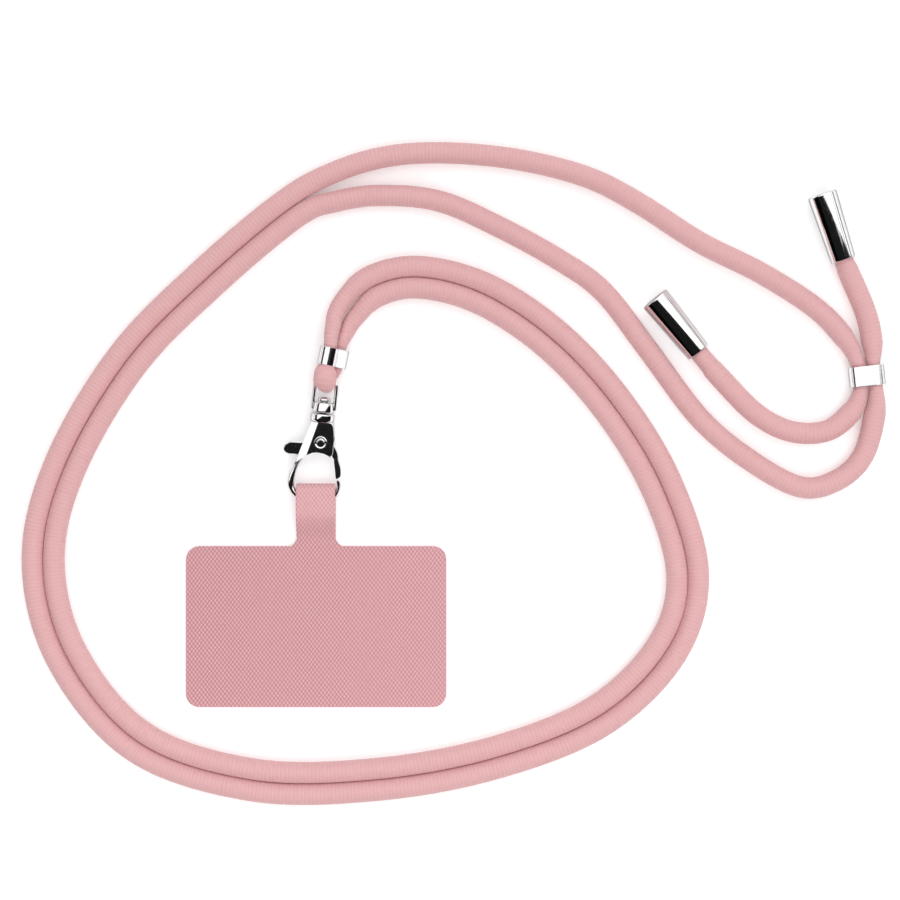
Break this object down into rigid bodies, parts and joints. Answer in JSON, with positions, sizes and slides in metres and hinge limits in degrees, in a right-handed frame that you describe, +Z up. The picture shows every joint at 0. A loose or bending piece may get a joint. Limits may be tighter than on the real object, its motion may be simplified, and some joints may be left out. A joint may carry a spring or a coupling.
{
  "type": "phone crossbody strap",
  "caption": "Long adjustable round cord worn across the body, with a swivel clasp hooked into the folded tab of a flat woven card that sits inside a phone case.",
  "frame": {"origin": "on the surface that the strap lies on, at the centre of the card's underside", "axes": "+X along the card's width, +Y from the card towards its tab and the clasp, +Z up out of the card's front"},
  "size_m": [0.2247, 0.1722, 0.0084],
  "materials": {
    "card_cloth": "coarse woven cloth in dusty pink",
    "cord_cloth": "finely braided polyester in pale pink",
    "silver_metal": "polished silver-coloured metal"
  },
  "bodies": {
    "strap": {"strap_cord": "cord_cloth", "cord_cap_1": "silver_metal", "cord_cap_2": "silver_metal", "slider_band": "silver_metal", "clamp_band": "silver_metal", "swivel_eye": "silver_metal"},
    "clasp": {"clasp_hook": "silver_metal", "phone_card": "card_cloth", "lever_rivet": "silver_metal"},
    "lever": {"clasp_lever": "silver_metal"}
  },
  "joints": [
    {"name": "swivel_turn", "type": "hinge", "parent": "strap", "child": "clasp", "pos_m": [0.00196, 0.05593, 0.00358], "axis": [0.106, 0.9923, 0.0637], "continuous": true},
    {"name": "lever_open", "type": "hinge", "parent": "clasp", "child": "lever", "pos_m": [0.00143, 0.04816, 0.00308], "axis": [-0.0068, -0.0633, 0.998], "range_deg": [-20, 0], "stiffness_Nm_per_rad": 0.005}
  ]
}
